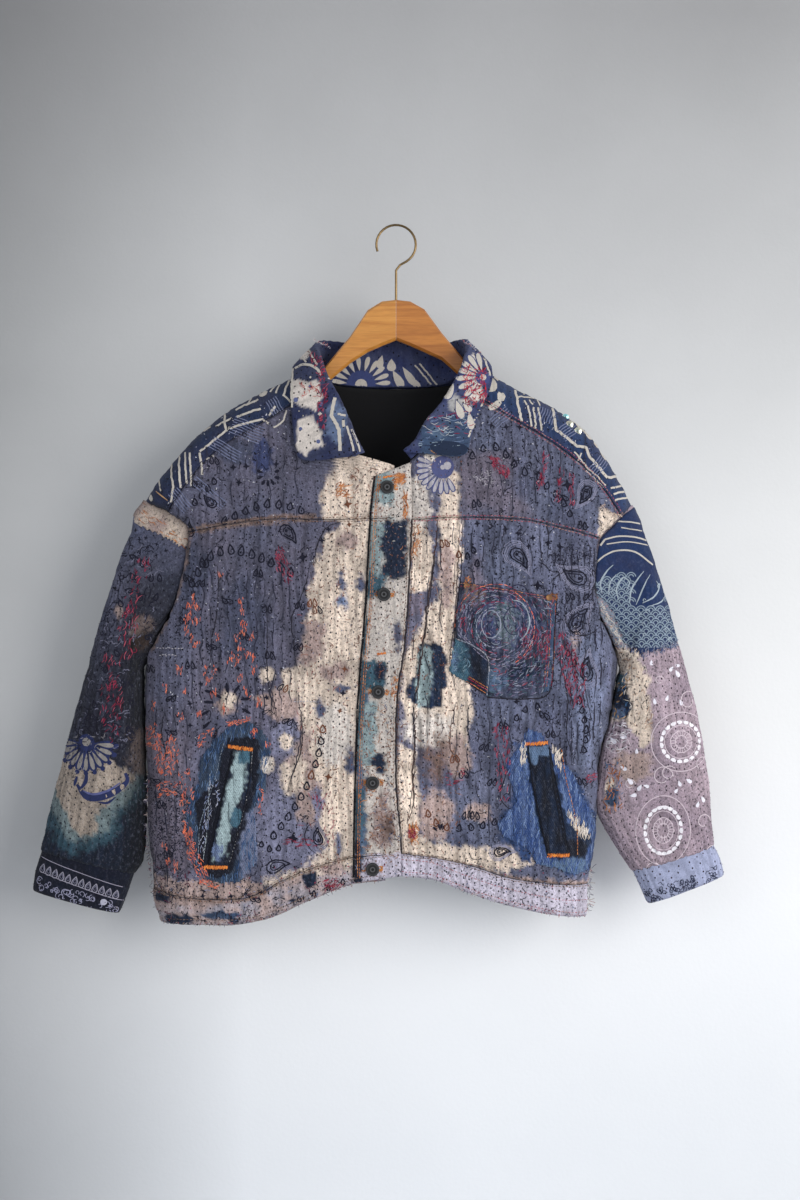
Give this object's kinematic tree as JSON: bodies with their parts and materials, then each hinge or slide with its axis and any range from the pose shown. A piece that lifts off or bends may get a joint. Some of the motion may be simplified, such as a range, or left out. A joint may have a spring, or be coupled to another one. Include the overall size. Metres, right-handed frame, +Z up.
{
  "type": "patched boro jacket on a wooden hanger",
  "caption": "Quilted, patched boro jacket, buttoned up, with collar, chest and welt pockets, hanging open at neck, hem and cuffs on a wooden hanger.",
  "frame": {"origin": "top of the hanger hook's inner curve, where it hangs on its support", "axes": "+Z up, +X to the right of someone who faces the front of the jacket, the front faces -Y"},
  "size_m": [0.868, 0.1054, 0.8818],
  "materials": {
    "back_lining": "black plain cotton lining, soft and matt",
    "back_panel": "quilted patched cotton, grey-lilac with dark running stitch",
    "back_yoke": "quilted indigo and white printed cotton",
    "button": "dark aged metal shank button",
    "button_placket": "quilted bleached cotton with blue dye and orange topstitching",
    "chest_denim_patch": "dark indigo denim, frayed edge",
    "chest_pocket": "quilted indigo cotton with stitched swirls",
    "collar": "quilted indigo and white printed cotton",
    "cuff_left": "navy printed cotton, quilted",
    "cuff_right": "blue-lilac printed cotton, quilted",
    "front_panel_left": "quilted lilac and bleached cream cotton with motifs",
    "front_panel_right": "quilted lilac and bleached cream cotton with motifs",
    "front_yoke_left": "quilted lilac cotton, bleached to cream at the front",
    "front_yoke_right": "quilted lilac cotton with red stitching",
    "hanger_arm_left": "lacquered light wood",
    "hanger_arm_right": "lacquered light wood",
    "hanger_hook": "aged brass-coloured wire",
    "pocket_denim_left": "mid-blue ribbed denim, frayed",
    "pocket_denim_right": "mid-blue ribbed denim, frayed",
    "rivet": "small copper-coloured rivet",
    "sleeve_left": "quilted lilac cotton with dark print, cream and navy lower down",
    "sleeve_left_head_band": "bleached cream cotton, quilted",
    "sleeve_right": "pale mauve printed cotton, quilted",
    "sleeve_right_print": "indigo resist-printed cotton, quilted",
    "waistband_back": "quilted lilac cotton",
    "waistband_left": "quilted mottled cotton with dark scraps",
    "waistband_right": "quilted pale lilac cotton with pink stitching",
    "welt_left": "dark denim welt, faded along its middle",
    "welt_right": "dark denim welt, faded along its middle"
  },
  "bodies": {
    "root": {"back_lining": "back_lining", "back_panel": "back_panel", "back_yoke": "back_yoke", "button_1": "button", "button_2": "button", "button_3": "button", "button_4": "button", "button_5": "button", "button_placket": "button_placket", "chest_denim_patch": "chest_denim_patch", "chest_pocket": "chest_pocket", "collar": "collar", "cuff_left": "cuff_left", "cuff_right": "cuff_right", "front_panel_left": "front_panel_left", "front_panel_right": "front_panel_right", "front_yoke_left": "front_yoke_left", "front_yoke_right": "front_yoke_right", "hanger_arm_left": "hanger_arm_left", "hanger_arm_right": "hanger_arm_right", "hanger_hook": "hanger_hook", "pocket_denim_left": "pocket_denim_left", "pocket_denim_right": "pocket_denim_right", "pocket_rivet_1": "rivet", "pocket_rivet_2": "rivet", "sleeve_left": "sleeve_left", "sleeve_left_head_band": "sleeve_left_head_band", "sleeve_right": "sleeve_right", "sleeve_right_print": "sleeve_right_print", "waistband_back": "waistband_back", "waistband_left": "waistband_left", "waistband_right": "waistband_right", "welt_left": "welt_left", "welt_right": "welt_right"}
  },
  "joints": []
}
